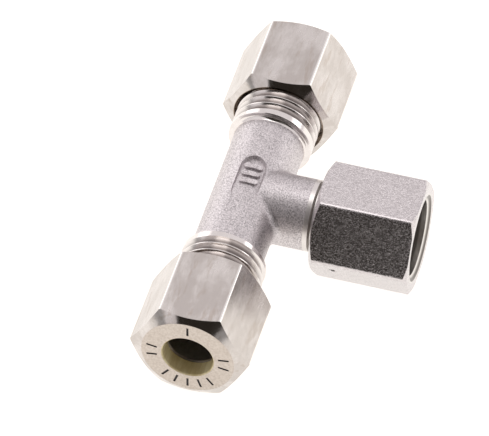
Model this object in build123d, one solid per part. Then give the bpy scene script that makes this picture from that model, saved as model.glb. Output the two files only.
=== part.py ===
from build123d import *
import math
import os

# Equal-run compression tee for 8 mm tube with a swivel nut on its branch. Millimetres.
# The run lies along Y and the branch points along +X. The origin is where their axes cross.

# Standard sizes of the 8 mm light series
tube_d = 8.0
thread_d = 14.0
thread_pitch = 1.5
hex_across_flats = 17.0
cone_half_angle = 12.0
flow_r = 3.0
branch_flow_r = 2.5

# Clearances
thread_flank_gap = 0.05
thread_crest_gap = 0.05
thread_overcut = 0.07
tube_socket_r = tube_d / 2 + 0.05
nut_hole_r = tube_d / 2 + 0.12
ring_bore_r = tube_d / 2 + 0.05

# Forging
barrel_r = 5.9
barrel_end = 13.4
branch_r = 5.85
branch_end = 11.4
junction_fillet = 1.5
shoulder_fillet = 0.6
pocket_length = 9.6
pocket_width = 4.3
pocket_depth = 0.38
pocket_tilt = 3.2
pocket_draft = 25.0
pocket_x = 0.3
pocket_y = -0.15
pocket_bar_length = 3.1
pocket_bar_width = 0.95
pocket_bar_pitch = 1.65
pocket_bar_middle = 0.95

# Threaded ends of the run, measured along the run from the origin
thread_start = 14.4
run_end = 23.0
mouth_r = 5.0
tube_stop = 16.0

# Spigot of the branch, measured along the branch from the origin
neck_r = 5.5
neck_end = 18.2
nose_start = 19.2
nose_end = 24.1
seal_groove_start = 19.9
seal_groove_end = 21.5
seal_groove_r = 3.5
seal_section_r = 0.74

# Union nuts. The front nut sits half a turn further out than the rear nut.
nut_length = 15.0
rear_nut_near_face = 18.65
nut_near_face = {"rear": rear_nut_near_face, "front": rear_nut_near_face + thread_pitch / 2}
nut_cone_end = 12.3
nut_chamfer_r = 7.5
nut_entry_r = 7.55
nut_corner_round = 0.25
mark_depth = 0.15
mark_ring_r = 5.9

# Cutting rings, measured from the tip
ring_length = 9.9
ring_tip_from_near_face = 2.0
ring_tip_r = 4.4
ring_taper_length = 2.7
ring_collar_start = 3.1
ring_collar_r = 5.2
ring_waist_start = 4.5
ring_waist_end = 6.8
ring_waist_depth = 0.25
ring_tail_r = 4.45
ring_bite_start = 0.5
ring_bite_end = 2.1
ring_bite_depth = 0.15

# Swivel nut, measured along the branch from the origin
swivel_back = 12.4
swivel_front = 28.7
swivel_bore_r = 5.7
swivel_bore_end = 18.4
swivel_back_chamfer_r = 8.25
swivel_front_chamfer_r = 8.8
swivel_entry_r = 7.1
swivel_corner_round = 0.85
wire_angle = 56.0
wire_x = 16.5
wire_r = 0.5
wire_track_r = 0.58
wire_ring_r = 5.6

# Thread form, worked out from the diameter and the pitch
thread_height = thread_pitch * math.sqrt(3) / 2
pitch_r = thread_d / 2 - 3 / 8 * thread_height
male_crest_r = thread_d / 2 - thread_crest_gap
male_root_r = thread_d / 2 - 17 / 24 * thread_height
female_crest_r = thread_d / 2 - 5 / 8 * thread_height
female_root_r = thread_d / 2 + thread_crest_gap


def turned(points):
    """A solid of revolution about Z from (radius, height) points."""
    outline = make_face(Polyline(*points, close=True))
    return revolve(Plane.XZ * outline, axis=Axis.Z)


def groove_width(radius, flank_sign):
    """Axial width of the space between the ridges at a radius. The sign is +1 for a male thread."""
    basic = 2 * (radius - pitch_r) * math.tan(math.radians(30))
    return thread_pitch / 2 + flank_sign * basic + 2 * thread_flank_gap


def helical_groove(inner_r, outer_r, flank_sign, start, length):
    """The metal that a right-hand thread removes. It starts below the axis of the fitting."""
    inner = groove_width(inner_r, flank_sign) / 2
    outer = groove_width(outer_r, flank_sign) / 2
    path = Pos(0, 0, start) * Helix(pitch=thread_pitch, height=length, radius=pitch_r)
    outline = Polyline(
        (inner_r, start - inner),
        (outer_r, start - outer),
        (outer_r, start + outer),
        (inner_r, start + inner),
        close=True,
    )
    cutter = sweep(Plane.XZ * make_face(outline), path=path, is_frenet=True)
    return Rot(Z=90) * cutter


def male_groove(start, length):
    return helical_groove(male_root_r, male_crest_r + thread_overcut, 1, start, length)


def female_groove(start, length):
    return helical_groove(female_crest_r - thread_overcut, female_root_r, -1, start, length)


def hex_blank(start, end, start_r, end_r, turn, corner_round):
    """A hexagonal bar with 30 degree chamfers that meet the end faces at the two given radii."""
    corner_r = hex_across_flats / math.sqrt(3)
    slope = math.tan(math.radians(30))
    profile = Rot(Z=turn) * RegularPolygon(hex_across_flats / 2, 6, major_radius=False)
    bar = Pos(0, 0, start) * extrude(profile, end - start)
    bar = fillet(bar.edges().filter_by(Axis.Z), corner_round)
    over_r = corner_r + 0.5
    envelope = turned(
        [
            (0, start),
            (start_r, start),
            (over_r, start + (over_r - start_r) * slope),
            (over_r, end - (over_r - end_r) * slope),
            (end_r, end),
            (0, end),
        ]
    )
    return bar & envelope


def along_run(side):
    """Turns a piece built along +Z to lie along the rear or the front half of the run."""
    towards_rear = Rot(X=-90)
    return towards_rear if side == "rear" else Rot(Z=180) * towards_rear


def run_end_outside():
    """Machined shank and threaded length of one run end, along +Z, with the thread cut."""
    end_chamfer = male_crest_r - male_root_r
    edge_break = 0.1
    shank = turned(
        [
            (0, barrel_end - 1),
            (barrel_r - 0.5, barrel_end - 1),
            (barrel_r - 0.5, barrel_end),
            (male_crest_r - edge_break, barrel_end),
            (male_crest_r, barrel_end + edge_break),
            (male_crest_r, run_end - end_chamfer),
            (male_root_r, run_end),
            (0, run_end),
        ]
    )
    return shank - male_groove(thread_start, run_end - thread_start + thread_pitch)


def run_end_inside():
    """Flow bore, tube socket and 24 degree mouth of one run end, along +Z."""
    mouth_depth = (mouth_r - tube_socket_r) / math.tan(math.radians(cone_half_angle))
    overrun = 0.5
    wider = overrun * math.tan(math.radians(cone_half_angle))
    return turned(
        [
            (0, 0),
            (flow_r, 0),
            (flow_r, tube_stop),
            (tube_socket_r, tube_stop),
            (tube_socket_r, run_end - mouth_depth),
            (mouth_r + wider, run_end + overrun),
            (0, run_end + overrun),
        ]
    )


def spigot_outside():
    """Turned neck, wire track, nose cone and seal groove of the branch, along +Z."""
    nose_r = neck_r - 0.5
    tip_r = nose_r - (nose_end - nose_start) * math.tan(math.radians(cone_half_angle))
    edge_break = 0.2
    neck_break = 0.3
    neck_step = branch_r - neck_r
    spigot = turned(
        [
            (0, branch_end - 1),
            (neck_r, branch_end - 1),
            (branch_r, branch_end),
            (neck_r, branch_end + neck_step),
            (neck_r, neck_end - neck_break),
            (neck_r - neck_break, neck_end),
            (nose_r, neck_end),
            (nose_r, nose_start),
            (tip_r, nose_end - edge_break),
            (tip_r - edge_break, nose_end),
            (0, nose_end),
        ]
    )
    seal_groove = turned(
        [
            (seal_groove_r, seal_groove_start),
            (neck_r, seal_groove_start),
            (neck_r, seal_groove_end),
            (seal_groove_r, seal_groove_end),
        ]
    )
    return spigot - seal_groove - wire_track()


def wire_track():
    """The ring of space that the retaining wire runs in, shared by the spigot and the nut."""
    return Pos(0, 0, wire_x) * Torus(wire_ring_r, wire_track_r)


def forged_tee():
    """The barrel and branch as forged, with a filleted junction."""
    barrel = Rot(X=-90) * Cylinder(barrel_r, 2 * barrel_end)
    branch = Rot(Y=90) * Cylinder(branch_r, branch_end, align=(Align.CENTER, Align.CENTER, Align.MIN))
    tee = barrel + branch
    return fillet(tee.edges().filter_by(junction_edge), junction_fillet)


def junction_edge(edge):
    """True for the curve where the branch leaves the barrel."""
    middle = edge @ 0.5
    reach = math.hypot(middle.X, middle.Z)
    return abs(reach - barrel_r) < 0.05 and middle.X > 0.5 and abs(middle.Y) < branch_r + 0.1


def shoulder_edge(edge):
    """True for the circle where the barrel meets the shoulder of a run end."""
    middle = edge @ 0.5
    reach = math.hypot(middle.X, middle.Z)
    return abs(reach - barrel_r) < 0.01 and abs(abs(middle.Y) - barrel_end) < 0.01


def mark_pocket():
    """The shallow drafted recess on top of the barrel, with three plain raised bars left in it."""
    below = 1.0
    height = 2.0
    widening = math.tan(math.radians(pocket_draft))
    narrow = pocket_width - 2 * below * widening
    short = pocket_length - 2 * below * widening
    base = Plane.XY.offset(barrel_r - pocket_depth - below)
    slot = base * Pos(pocket_x, pocket_y) * SlotOverall(short, narrow, rotation=90)
    tool = extrude(slot, height, taper=-pocket_draft)
    floor = Rot(X=-90) * Cylinder(barrel_r - pocket_depth, 3 * pocket_length)
    tool -= Rot(X=-pocket_tilt) * floor
    for step in (-1, 0, 1):
        middle = Pos(pocket_x, pocket_bar_middle + step * pocket_bar_pitch)
        bar = base * middle * SlotOverall(pocket_bar_length, pocket_bar_width)
        tool -= extrude(bar, height)
    return tool


def tee_body():
    body = forged_tee()
    body -= mark_pocket()
    body += Rot(Y=90) * spigot_outside()
    for side in ("rear", "front"):
        body += along_run(side) * run_end_outside()
    body = fillet(body.edges().filter_by(shoulder_edge), shoulder_fillet)
    for side in ("rear", "front"):
        body -= along_run(side) * run_end_inside()
    from_axis = (Align.CENTER, Align.CENTER, Align.MIN)
    body -= Rot(Y=90) * Cylinder(branch_flow_r, nose_end + 1, align=from_axis)
    return body


def face_marks(face_at):
    """Short engraved strokes in four groups round the outer face of a union nut, along +Z."""
    stroke_length = 1.75
    stroke_width = 0.36
    groups = {270: 1, 180: 2, 0: 2, 90: 5}
    step = 19.0
    strokes = Part()
    for centre, count in groups.items():
        for index in range(count):
            angle = centre + (index - (count - 1) / 2) * step
            stroke = Box(stroke_length, stroke_width, 2 * mark_depth)
            strokes += Rot(Z=angle) * Pos(mark_ring_r, 0, face_at) * stroke
    return strokes


def union_nut(side):
    """Hexagon nut with a thread, a 45 degree seat for the ring and a hole for the tube."""
    near = nut_near_face[side]
    far = near + nut_length
    cone_end = near + nut_cone_end
    hole_break = 0.18
    overrun = 0.5
    inside = turned(
        [
            (0, near - overrun),
            (nut_entry_r + overrun, near - overrun),
            (female_crest_r, near + nut_entry_r - female_crest_r),
            (female_crest_r, cone_end - (female_crest_r - nut_hole_r)),
            (nut_hole_r, cone_end),
            (nut_hole_r, far - hole_break),
            (nut_hole_r + hole_break + overrun, far + overrun),
            (0, far + overrun),
        ]
    )
    nut = hex_blank(near, far, nut_chamfer_r, nut_chamfer_r, 0, nut_corner_round) - inside
    nut -= female_groove(thread_start + 2.5 * thread_pitch, 6 * thread_pitch)
    nut -= face_marks(far)
    return along_run(side) * nut


def cutting_ring(side):
    """Ring that seals in the mouth of the body and bites the tube as the nut is tightened."""
    tip = nut_near_face[side] + ring_tip_from_near_face
    taper_r = ring_tip_r + ring_taper_length * math.tan(math.radians(cone_half_angle))
    waist_r = ring_collar_r - ring_waist_depth
    bite_r = ring_bore_r + ring_bite_depth
    outline = [
        (ring_bore_r, 0),
        (ring_tip_r, 0),
        (taper_r, ring_taper_length),
        (ring_collar_r, ring_collar_start),
        (ring_collar_r, ring_waist_start - ring_waist_depth),
        (waist_r, ring_waist_start),
        (waist_r, ring_waist_end),
        (ring_collar_r, ring_waist_end + ring_waist_depth),
        (ring_collar_r, ring_length - (ring_collar_r - ring_tail_r)),
        (ring_tail_r, ring_length),
        (ring_bore_r, ring_length),
        (ring_bore_r, ring_bite_end),
        (bite_r, ring_bite_end - ring_bite_depth),
        (bite_r, ring_bite_start + 2 * ring_bite_depth),
        (ring_bore_r, ring_bite_start),
    ]
    return along_run(side) * Pos(0, 0, tip) * turned(outline)


def wire_hole():
    """Slanting hole from a lower flat of the swivel nut to the wire track, along the wire's tangent."""
    leaves_ring = Pos(0, 0, wire_x) * Rot(Z=wire_angle) * Pos(-wire_ring_r, 0, 0) * Rot(X=90)
    length = hex_across_flats / 2
    return leaves_ring * Cylinder(wire_track_r, length, align=(Align.CENTER, Align.CENTER, Align.MIN))


def swivel_nut():
    """Hexagon nut that turns on the spigot. It is open at its far end and threaded inside."""
    overrun = 0.5
    relief_end = swivel_bore_end + 1.4
    countersink = math.tan(math.radians(30))
    back_break = 0.25
    inside = turned(
        [
            (0, swivel_back - overrun),
            (swivel_bore_r + back_break + overrun, swivel_back - overrun),
            (swivel_bore_r, swivel_back + back_break),
            (swivel_bore_r, swivel_bore_end),
            (female_root_r, swivel_bore_end),
            (female_root_r, relief_end - 0.5),
            (female_crest_r, relief_end + 0.4),
            (female_crest_r, swivel_front - (swivel_entry_r - female_crest_r) * countersink),
            (swivel_entry_r + overrun / countersink, swivel_front + overrun),
            (0, swivel_front + overrun),
        ]
    )
    chamfers = (swivel_back_chamfer_r, swivel_front_chamfer_r)
    blank = hex_blank(swivel_back, swivel_front, *chamfers, 30, swivel_corner_round)
    nut = blank - inside - wire_track() - wire_hole()
    first_turn = relief_end - 0.6
    nut -= female_groove(first_turn, swivel_front - first_turn + 0.6)
    return Rot(Y=90) * nut


def retaining_wire():
    """Round wire bent to an open ring, with its straight tail in the slanting hole."""
    gap = 24.0
    tail = 3.4
    section = Pos(wire_ring_r, 0, 0) * Rot(X=90) * Circle(wire_r)
    ring = Rot(Z=wire_angle + 180 + gap) * revolve(section, axis=Axis.Z, revolution_arc=360 - gap)
    end = Rot(Z=wire_angle) * Pos(-wire_ring_r, 0, 0) * Rot(X=90)
    straight = end * Cylinder(wire_r, tail, align=(Align.CENTER, Align.CENTER, Align.MIN))
    return Rot(Y=90) * Pos(0, 0, wire_x) * (ring + straight)


def branch_seal():
    """O-ring in the groove of the nose."""
    middle = (seal_groove_start + seal_groove_end) / 2
    ring_r = seal_groove_r + 0.02 + seal_section_r
    return Rot(Y=90) * Pos(0, 0, middle) * Torus(ring_r, seal_section_r)


parts = {
    "tee_body": tee_body(),
    "swivel_nut": swivel_nut(),
    "nut_retaining_wire": retaining_wire(),
    "branch_o_ring": branch_seal(),
}
for side in ("rear", "front"):
    parts[side + "_union_nut"] = union_nut(side)
    parts[side + "_cutting_ring"] = cutting_ring(side)

os.makedirs("parts", exist_ok=True)
for name, shape in parts.items():
    export_step(shape, "parts/" + name + ".step")
    print(name, len(shape.solids()), round(shape.volume, 1), shape.is_valid)
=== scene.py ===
import math

import bpy
from mathutils import Matrix, Vector


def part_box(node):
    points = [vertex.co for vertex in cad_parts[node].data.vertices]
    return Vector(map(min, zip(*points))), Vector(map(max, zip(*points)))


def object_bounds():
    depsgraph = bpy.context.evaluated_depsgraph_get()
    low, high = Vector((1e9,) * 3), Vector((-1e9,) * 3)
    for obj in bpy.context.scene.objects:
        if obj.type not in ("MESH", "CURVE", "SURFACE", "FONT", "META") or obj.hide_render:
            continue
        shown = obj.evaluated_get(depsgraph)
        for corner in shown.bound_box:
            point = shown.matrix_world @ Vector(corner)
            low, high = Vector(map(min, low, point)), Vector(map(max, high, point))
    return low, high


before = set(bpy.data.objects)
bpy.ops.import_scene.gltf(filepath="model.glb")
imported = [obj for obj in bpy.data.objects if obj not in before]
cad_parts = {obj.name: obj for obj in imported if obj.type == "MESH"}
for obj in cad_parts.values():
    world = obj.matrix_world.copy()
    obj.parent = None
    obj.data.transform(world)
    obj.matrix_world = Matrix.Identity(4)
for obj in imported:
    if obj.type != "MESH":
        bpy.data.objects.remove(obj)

MM = 0.001
cad_low, cad_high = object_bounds()
table_z = cad_low.z


# ---------------------------------------------------------------- camera

view_azimuth = math.radians(15.3)
view_elevation = math.radians(47.4)
view_roll = math.radians(0.6)
view_distance = 793 * MM
view_lens = 363.8
slide_right = -0.433 * MM
slide_up = -2.616 * MM


def make_camera():
    """A long lens that looks down on the crossing of the two axes from the front right."""
    flat = math.cos(view_elevation)
    forward = Vector(
        (
            -math.sin(view_azimuth) * flat,
            math.cos(view_azimuth) * flat,
            -math.sin(view_elevation),
        )
    )
    level_right = Vector((math.cos(view_azimuth), math.sin(view_azimuth), 0))
    level_up = level_right.cross(forward)
    right = level_right * math.cos(view_roll) + level_up * math.sin(view_roll)
    up = level_up * math.cos(view_roll) - level_right * math.sin(view_roll)
    data = bpy.data.cameras.new("camera")
    data.lens = view_lens
    data.sensor_width = 36
    data.clip_start = 10 * MM
    camera = bpy.data.objects.new("camera", data)
    place = -forward * view_distance + right * slide_right + up * slide_up
    turn = Matrix((right, up, -forward)).transposed().to_4x4()
    camera.matrix_world = Matrix.Translation(place) @ turn
    bpy.context.scene.collection.objects.link(camera)
    bpy.context.scene.camera = camera


# ---------------------------------------------------------------- shader helpers


class Nodes:
    """Short calls for building one node tree."""

    def __init__(self, tree):
        self.tree = tree
        tree.nodes.clear()

    def add(self, kind, **settings):
        node = self.tree.nodes.new(kind)
        for name, value in settings.items():
            setattr(node, name, value)
        return node

    def feed(self, socket, value):
        """Links another socket, or sets a plain value."""
        if isinstance(value, bpy.types.NodeSocket):
            self.tree.links.new(value, socket)
        else:
            socket.default_value = value

    def math(self, operation, a, b=0.0, clamp=False):
        node = self.add("ShaderNodeMath", operation=operation, use_clamp=clamp)
        self.feed(node.inputs[0], a)
        self.feed(node.inputs[1], b)
        return node.outputs[0]

    def ramp(self, value, low, high, to_low=0.0, to_high=1.0):
        """A smooth step from low to high."""
        node = self.add("ShaderNodeMapRange", interpolation_type="SMOOTHSTEP")
        self.feed(node.inputs["Value"], value)
        self.feed(node.inputs["From Min"], low)
        self.feed(node.inputs["From Max"], high)
        self.feed(node.inputs["To Min"], to_low)
        self.feed(node.inputs["To Max"], to_high)
        return node.outputs["Result"]

    def mix(self, factor, a, b):
        """Mixes two colours."""
        node = self.add("ShaderNodeMix", data_type="RGBA")
        self.feed(node.inputs["Factor"], factor)
        self.feed(node.inputs["A"], a)
        self.feed(node.inputs["B"], b)
        return node.outputs["Result"]

    def blend(self, factor, a, b):
        """Mixes two numbers."""
        node = self.add("ShaderNodeMix", data_type="FLOAT")
        self.feed(node.inputs["Factor"], factor)
        self.feed(node.inputs["A"], a)
        self.feed(node.inputs["B"], b)
        return node.outputs["Result"]

    def place(self):
        """Object coordinates, in metres, and their three parts."""
        coordinates = self.add("ShaderNodeTexCoord").outputs["Object"]
        parts = self.add("ShaderNodeSeparateXYZ")
        self.feed(parts.inputs[0], coordinates)
        return coordinates, parts.outputs["X"], parts.outputs["Y"], parts.outputs["Z"]

    def stretched(self, coordinates, scale, turn=0.0):
        """Coordinates turned about Z and then scaled."""
        node = self.add("ShaderNodeMapping")
        self.feed(node.inputs["Vector"], coordinates)
        node.inputs["Rotation"].default_value = (0, 0, turn)
        node.inputs["Scale"].default_value = scale
        return node.outputs["Vector"]

    def noise(self, vector, size, detail=2.0, roughness=0.5):
        """Noise whose lumps are about size across, in metres."""
        node = self.add("ShaderNodeTexNoise")
        self.feed(node.inputs["Vector"], vector)
        node.inputs["Scale"].default_value = 1 / size
        node.inputs["Detail"].default_value = detail
        node.inputs["Roughness"].default_value = roughness
        return node.outputs["Fac"]

    def bump(self, height, depth, normal=None):
        """A bump whose full height is depth, in metres."""
        node = self.add("ShaderNodeBump")
        node.inputs["Distance"].default_value = depth
        self.feed(node.inputs["Height"], height)
        if normal is not None:
            self.feed(node.inputs["Normal"], normal)
        return node.outputs["Normal"]

    def metal(self, colour, roughness, normal, metallic=1.0):
        shader = self.add("ShaderNodeBsdfPrincipled")
        self.feed(shader.inputs["Metallic"], metallic)
        self.feed(shader.inputs["Base Color"], colour)
        self.feed(shader.inputs["Roughness"], roughness)
        self.feed(shader.inputs["Normal"], normal)
        output = self.add("ShaderNodeOutputMaterial")
        self.feed(output.inputs["Surface"], shader.outputs[0])


def new_material(name):
    material = bpy.data.materials.new(name)
    material.use_nodes = True
    return material, Nodes(material.node_tree)


def distance_from_axis(n, a, b):
    """Distance of a point from an axis, from the two coordinates across it."""
    return n.math("SQRT", n.math("ADD", n.math("MULTIPLY", a, a), n.math("MULTIPLY", b, b)))


def turning_marks(n, along, pitch):
    """Fine rings left by a turning tool, as a height from 0 to 1."""
    phase = n.math("MULTIPLY", along, 2 * math.pi / pitch)
    half_wave = n.math("MULTIPLY", n.math("SINE", phase), 0.5)
    return n.math("ADD", half_wave, 0.5)


# ---------------------------------------------------------------- materials

# Sizes of the part that the materials follow.
barrel_end = 13.4 * MM
branch_end = 11.4 * MM
thread_start = 14.4 * MM
thread_root_r = 6.2 * MM
thread_crest_r = 6.9 * MM
bore_r = 4.5 * MM
tube_hole_r = 4.3 * MM
nut_entry_r = 7.6 * MM
nut_chamfer_r = 7.45 * MM
hexagon_corner_r = 9.76 * MM
swivel_inside_r = 7.3 * MM

# Textures.
grain_size = 0.20 * MM
blast_depth = 0.036 * MM
turning_pitch = 0.11 * MM
swivel_grain_depth = 0.030 * MM
engraving_colour = (0.035, 0.03, 0.03, 1)
# Painted shade colour for the thread roots of the body.
root_shade_colour = (0.17, 0.145, 0.135, 1)


def forged_steel():
    """Shot-blasted forging, with the machined ends turned bright and painted shade in the thread
    roots.
    """
    material, n = new_material("forged_steel")
    coordinates, x, y, z = n.place()
    run_radius = distance_from_axis(n, x, z)
    on_run_end = n.math("GREATER_THAN", n.math("ABSOLUTE", y), barrel_end - 0.55 * MM)
    on_spigot = n.math("GREATER_THAN", x, branch_end - 0.75 * MM)
    off_branch = n.math("LESS_THAN", x, 5.0 * MM)
    in_bore = n.math("MULTIPLY", n.math("LESS_THAN", run_radius, bore_r), off_branch)
    turned = n.math("MAXIMUM", n.math("MAXIMUM", on_run_end, on_spigot), in_bore)

    grain = n.noise(coordinates, grain_size, 3.0, 0.65)
    patches = n.noise(coordinates, 2.6 * MM, 2.0)
    blasted = n.mix(n.ramp(grain, 0.36, 0.62), (0.34, 0.315, 0.325, 1), (0.86, 0.82, 0.83, 1))
    blasted = n.mix(n.ramp(patches, 0.3, 0.75, 0.0, 0.35), blasted, (0.72, 0.68, 0.69, 1))
    bright = n.mix(n.noise(coordinates, 1.2 * MM), (0.74, 0.70, 0.68, 1), (0.88, 0.85, 0.83, 1))
    in_thread = n.math("GREATER_THAN", n.math("ABSOLUTE", y), thread_start)
    depth = n.ramp(run_radius, thread_crest_r, thread_root_r)
    # Painted shade: darker the deeper into the thread roots.
    painted_shade = n.math("MULTIPLY", n.math("MULTIPLY", in_thread, depth), 0.60)
    bright = n.mix(painted_shade, bright, root_shade_colour)
    colour = n.mix(turned, blasted, bright)
    rough = n.blend(turned, n.ramp(grain, 0.2, 0.9, 0.38, 0.50), n.blend(on_spigot, 0.15, 0.34))

    along = n.blend(on_spigot, y, x)
    rings = turning_marks(n, along, turning_pitch)
    pits = n.bump(grain, blast_depth)
    lines = n.bump(rings, 0.0012 * MM)
    normal = n.add("ShaderNodeMix", data_type="VECTOR")
    n.feed(normal.inputs["Factor"], turned)
    n.feed(normal.inputs["A"], pits)
    n.feed(normal.inputs["B"], lines)
    n.metal(colour, rough, normal.outputs["Result"])
    return material


def nut_steel(name, near_face, far_face):
    """Smooth union nut with smoky stains, an oxidised end face and tube hole, dark strokes,
    painted shade in its entry and a painted highlight along the hex corners.
    """
    material, n = new_material(name)
    coordinates, x, y, z = n.place()
    radius = distance_from_axis(n, x, z)
    from_far = n.math("SUBTRACT", far_face, n.math("ABSOLUTE", y))
    from_near = n.math("SUBTRACT", n.math("ABSOLUTE", y), near_face)
    on_face = n.math("LESS_THAN", from_far, 0.02 * MM)
    below_face = n.math("LESS_THAN", from_far, 0.2 * MM)
    outside_hole = n.math("GREATER_THAN", radius, 4.9 * MM)
    inside_chamfer = n.math("LESS_THAN", radius, 6.9 * MM)
    band = n.math("MULTIPLY", outside_hole, inside_chamfer)
    engraved = n.math("MULTIPLY", n.math("SUBTRACT", below_face, on_face), band)
    in_hole = n.math("LESS_THAN", radius, tube_hole_r)
    past_face = n.math("SUBTRACT", radius, nut_chamfer_r)
    rise = n.math("MULTIPLY", past_face, math.tan(math.radians(30)))
    from_end = n.math("MINIMUM", from_far, from_near)
    on_chamfer = n.math("LESS_THAN", from_end, n.math("ADD", rise, 0.04 * MM))
    in_entry = n.math("LESS_THAN", radius, nut_entry_r)
    in_entry = n.math("MULTIPLY", in_entry, n.math("LESS_THAN", from_near, 1.5 * MM))

    # Painted highlight: near-white along the hex corners.
    corner_highlight = n.ramp(radius, 9.62 * MM, hexagon_corner_r)
    stains = n.noise(n.stretched(coordinates, (1, 0.45, 1)), 3.2 * MM, 4.0, 0.6)
    smoke = n.noise(n.stretched(coordinates, (1, 0.22, 1), math.radians(32)), 1.3 * MM, 3.0, 0.6)
    fine = n.noise(n.stretched(coordinates, (1, 0.12, 1)), 0.25 * MM, 2.0)
    base = n.mix(n.ramp(stains, 0.38, 0.64), (0.58, 0.54, 0.51, 1), (0.72, 0.685, 0.66, 1))
    base = n.mix(n.ramp(smoke, 0.54, 0.68, 0.0, 0.45), base, (0.46, 0.39, 0.33, 1))
    base = n.mix(n.ramp(fine, 0.3, 0.7, 0.0, 0.25), base, (0.54, 0.51, 0.48, 1))
    base = n.mix(corner_highlight, base, (0.96, 0.94, 0.91, 1))
    speckle = n.noise(coordinates, 0.35 * MM, 4.0, 0.65)
    face = n.mix(n.ramp(speckle, 0.30, 0.70), (0.51, 0.45, 0.395, 1), (0.64, 0.58, 0.525, 1))
    colour = n.mix(on_face, base, face)
    # Painted shade: dark brown in the entry by the near face.
    colour = n.mix(in_entry, colour, (0.30, 0.24, 0.19, 1))
    olive = n.mix(n.ramp(smoke, 0.35, 0.65), (0.60, 0.50, 0.26, 1), (0.80, 0.72, 0.46, 1))
    colour = n.mix(in_hole, colour, olive)
    colour = n.mix(engraved, colour, engraving_colour)
    rough = n.ramp(stains, 0.3, 0.75, 0.18, 0.30)
    rough = n.blend(corner_highlight, rough, 0.12)
    rough = n.blend(on_chamfer, rough, 0.10)
    rough = n.blend(on_face, rough, 0.34)
    rough = n.blend(n.math("MAXIMUM", engraved, in_hole), rough, 0.6)
    metallic = n.blend(in_hole, 1.0, 0.25)
    metallic = n.blend(engraved, metallic, 0.0)

    drawn = n.bump(fine, 0.0016 * MM)
    normal = n.bump(stains, 0.008 * MM, drawn)
    n.metal(colour, rough, normal, metallic)
    return material


def swivel_steel(front_face):
    """Drawn bar stock, with a fine broken grain on its flats and painted shade in the thread
    grooves and deep inside.
    """
    material, n = new_material("swivel_steel")
    coordinates, x, y, z = n.place()
    radius = distance_from_axis(n, y, z)
    inside = n.math("LESS_THAN", radius, swivel_inside_r)
    above_crest = n.ramp(radius, 6.30 * MM, 6.75 * MM)
    below_rim = n.ramp(radius, 7.12 * MM, 7.04 * MM)
    deep = n.ramp(n.math("SUBTRACT", front_face, x), 1.1 * MM, 1.5 * MM)
    in_groove = n.math("MULTIPLY", above_crest, below_rim)
    # Painted shade: dark in the thread grooves and deeper inside the nut.
    painted_shade = n.math("MAXIMUM", in_groove, n.math("MULTIPLY", deep, 0.8))
    streaks = n.noise(n.stretched(coordinates, (0.35, 1, 1)), 0.13 * MM, 2.0, 0.6)
    specks = n.noise(coordinates, 0.16 * MM, 2.0, 0.6)
    grain = n.math("MULTIPLY", n.math("ADD", streaks, specks), 0.5)
    flats = n.mix(n.ramp(grain, 0.40, 0.66), (0.54, 0.51, 0.515, 1), (0.86, 0.82, 0.825, 1))
    bright = n.mix(n.noise(coordinates, 1.0 * MM), (0.74, 0.71, 0.67, 1), (0.82, 0.80, 0.77, 1))
    bright = n.mix(n.math("MULTIPLY", painted_shade, 0.88), bright, (0.10, 0.085, 0.075, 1))
    colour = n.mix(inside, flats, bright)
    rough = n.blend(inside, n.ramp(grain, 0.47, 0.66, 0.19, 0.42), 0.30)
    normal = n.bump(grain, swivel_grain_depth)
    n.metal(colour, rough, normal)
    return material


def ring_steel():
    """Turned cutting ring."""
    material, n = new_material("ring_steel")
    coordinates, x, y, z = n.place()
    mottle = n.noise(coordinates, 0.7 * MM, 3.0)
    colour = n.mix(mottle, (0.58, 0.55, 0.50, 1), (0.76, 0.73, 0.68, 1))
    rings = turning_marks(n, y, 0.14 * MM)
    n.metal(colour, n.ramp(rings, 0.0, 1.0, 0.28, 0.36), n.bump(rings, 0.0016 * MM))
    return material


def spring_wire():
    """Drawn wire with faint lines round it."""
    material, n = new_material("spring_wire")
    coordinates, x, y, z = n.place()
    grain = n.noise(coordinates, 0.12 * MM, 3.0)
    colour = n.mix(grain, (0.50, 0.49, 0.48, 1), (0.70, 0.69, 0.68, 1))
    n.metal(colour, n.ramp(grain, 0.2, 0.8, 0.2, 0.34), n.bump(grain, 0.004 * MM))
    return material


def seal_rubber():
    """Black moulded rubber with a slight bloom."""
    material, n = new_material("seal_rubber")
    coordinates, x, y, z = n.place()
    bloom = n.noise(coordinates, 0.5 * MM, 3.0)
    shader = n.add("ShaderNodeBsdfPrincipled")
    colour = n.mix(bloom, (0.012, 0.012, 0.013, 1), (0.035, 0.034, 0.034, 1))
    n.feed(shader.inputs["Base Color"], colour)
    n.feed(shader.inputs["Roughness"], n.ramp(bloom, 0.2, 0.8, 0.42, 0.6))
    n.feed(shader.inputs["Normal"], n.bump(bloom, 0.006 * MM))
    output = n.add("ShaderNodeOutputMaterial")
    n.feed(output.inputs["Surface"], shader.outputs[0])
    return material


def dress(node, material):
    """Puts one material on a CAD node."""
    for material_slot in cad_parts[node].material_slots:
        material_slot.material = material


# ---------------------------------------------------------------- studio


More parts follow.
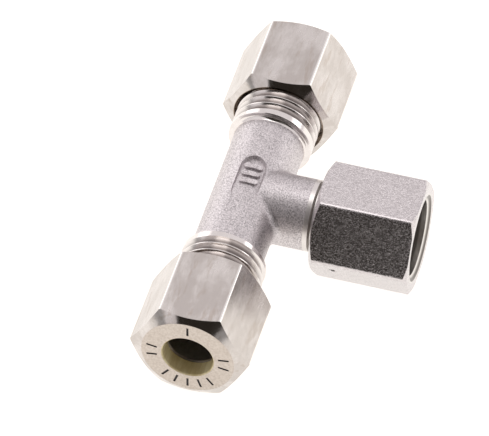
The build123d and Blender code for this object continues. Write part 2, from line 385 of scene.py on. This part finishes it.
def make_floor():
    """A wide pale table that glows as a lit white table does, less so towards the camera's side.

    It lies a hair below the part, so that the flats that rest on it don't share its plane.
    """
    half = 3.0
    level = table_z - 0.02 * MM
    square = ((-half, -half), (half, -half), (half, half), (-half, half))
    corners = [(x, y, level) for x, y in square]
    mesh = bpy.data.meshes.new("floor")
    mesh.from_pydata(corners, [], [(0, 1, 2, 3)])
    floor = bpy.data.objects.new("floor", mesh)
    bpy.context.scene.collection.objects.link(floor)
    material, n = new_material("floor")
    shader = n.add("ShaderNodeBsdfPrincipled")
    shader.inputs["Base Color"].default_value = (0.35, 0.35, 0.35, 1)
    shader.inputs["Roughness"].default_value = 0.9
    shader.inputs["Emission Color"].default_value = (1.0, 0.965, 0.92, 1)
    coordinates, x, y, z = n.place()
    glow = n.ramp(y, -0.150, -0.050, 0.10, 0.95)
    seen = n.add("ShaderNodeLightPath").outputs["Is Camera Ray"]
    n.feed(shader.inputs["Emission Strength"], n.blend(seen, glow, 0.98))
    output = n.add("ShaderNodeOutputMaterial")
    n.feed(output.inputs["Surface"], shader.outputs[0])
    mesh.materials.append(material)


def make_world():
    """A pale tent that is open, and so dark, on the camera's side, apart from its left."""
    world = bpy.data.worlds.new("studio")
    world.use_nodes = True
    n = Nodes(world.node_tree)
    direction = n.add("ShaderNodeTexCoord").outputs["Generated"]
    parts = n.add("ShaderNodeSeparateXYZ")
    n.feed(parts.inputs[0], direction)
    leftward = n.math("SUBTRACT", n.math("MULTIPLY", parts.outputs["X"], -4.0), 0.5)
    sideways = n.math("SUBTRACT", n.math("MAXIMUM", parts.outputs["X"], leftward), 0.18)
    pale = n.ramp(n.math("ADD", parts.outputs["Y"], sideways), -0.10, 0.05)
    colour = n.mix(pale, (0.031, 0.026, 0.022, 1), (0.84, 0.795, 0.805, 1))
    lit = n.add("ShaderNodeBackground")
    n.feed(lit.inputs["Color"], colour)
    plain = n.add("ShaderNodeBackground")
    plain.inputs["Color"].default_value = (1, 1, 1, 1)
    seen = n.add("ShaderNodeLightPath").outputs["Is Camera Ray"]
    choice = n.add("ShaderNodeMixShader")
    n.feed(choice.inputs[0], seen)
    n.feed(choice.inputs[1], lit.outputs[0])
    n.feed(choice.inputs[2], plain.outputs[0])
    output = n.add("ShaderNodeOutputWorld")
    n.feed(output.inputs["Surface"], choice.outputs[0])
    bpy.context.scene.world = world


def softbox(name, place, target, width, height, power, colour):
    """A rectangular soft light aimed at a point."""
    data = bpy.data.lights.new(name, "AREA")
    data.shape = "RECTANGLE"
    data.size = width
    data.size_y = height
    data.energy = power
    data.color = colour
    light = bpy.data.objects.new(name, data)
    light.location = place
    light.rotation_mode = "QUATERNION"
    light.rotation_quaternion = (Vector(target) - Vector(place)).to_track_quat("-Z", "Y")
    light.visible_camera = False
    bpy.context.scene.collection.objects.link(light)


def make_lights():
    centre = (cad_low + cad_high) / 2
    softbox("top", (-0.10, 0.14, 0.60), centre, 0.40, 0.26, 0.40, (1.0, 0.98, 0.97))
    softbox("left", (-0.52, 0.46, 0.20), centre, 0.34, 0.34, 0.32, (1.0, 0.99, 0.98))
    softbox("right", (0.47, 0.457, 0.246), centre, 0.12, 0.30, 0.15, (1.0, 0.99, 0.97))
    softbox("fill", (0.32, -0.45, 0.50), centre, 0.30, 0.30, 0.04, (1.0, 0.98, 0.96))


# ---------------------------------------------------------------- build

make_camera()
rear_low, rear_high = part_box("rear_union_nut")
front_low, front_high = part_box("front_union_nut")
nut_faces = {
    "rear_union_nut": (rear_low.y, rear_high.y),
    "front_union_nut": (-front_high.y, -front_low.y),
}
dress("tee_body", forged_steel())
for node, faces in nut_faces.items():
    dress(node, nut_steel(node + "_steel", *faces))
dress("swivel_nut", swivel_steel(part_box("swivel_nut")[1].x))
cutting_ring_steel = ring_steel()
for node in ("rear_cutting_ring", "front_cutting_ring"):
    dress(node, cutting_ring_steel)
dress("nut_retaining_wire", spring_wire())
dress("branch_o_ring", seal_rubber())
make_floor()
make_world()
make_lights()
bpy.context.scene.view_settings.view_transform = "Standard"
